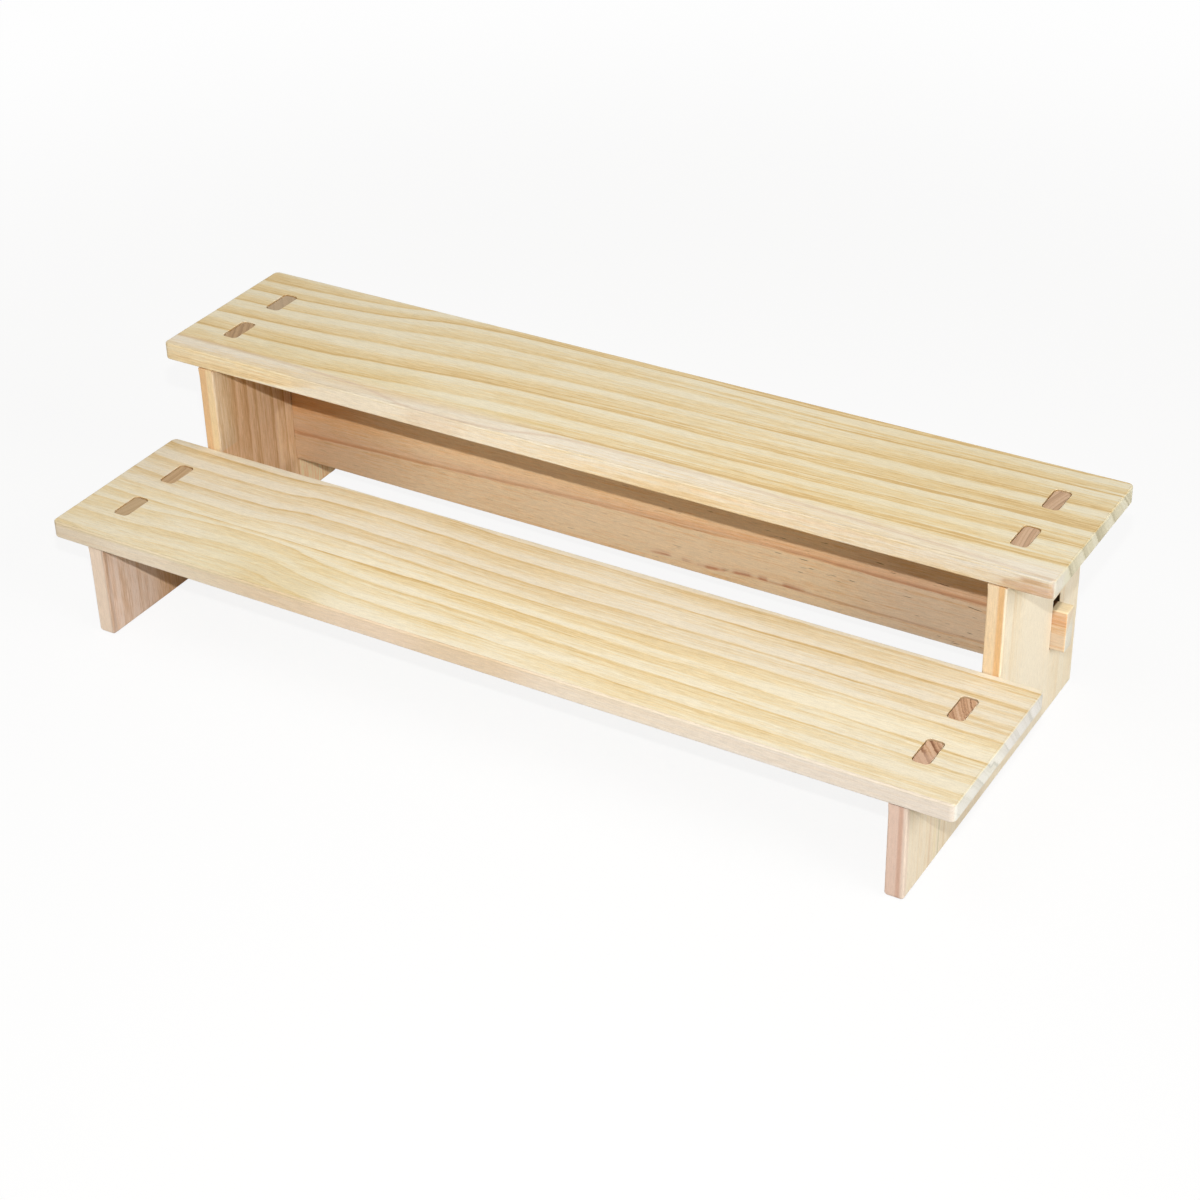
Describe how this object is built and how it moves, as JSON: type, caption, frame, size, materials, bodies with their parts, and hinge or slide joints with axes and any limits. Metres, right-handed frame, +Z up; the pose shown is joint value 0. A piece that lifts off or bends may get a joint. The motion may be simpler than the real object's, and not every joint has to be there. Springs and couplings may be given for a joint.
{
  "type": "two-tier display riser",
  "caption": "Stepped pine display riser for a counter: a low and a high shelf slotted over tenons on stepped side panels, tied by a rear stretcher with through tenons.",
  "frame": {"origin": "on the floor plane under the middle of the riser", "axes": "+X along the shelves to the right as seen from the front, +Y from the low tier in front to the high tier at the back, +Z up"},
  "size_m": [0.4, 0.1604, 0.094],
  "materials": {
    "shelf_pine": "planed, unvarnished, pale yellow",
    "panel_pine": "planed, unvarnished, cream to pinkish tan",
    "stretcher_pine": "planed, unvarnished, pinkish tan"
  },
  "bodies": {
    "root": {"upper_shelf": "shelf_pine", "lower_shelf": "shelf_pine", "left_side_panel": "panel_pine", "right_side_panel": "panel_pine", "rear_stretcher": "stretcher_pine"}
  },
  "joints": []
}
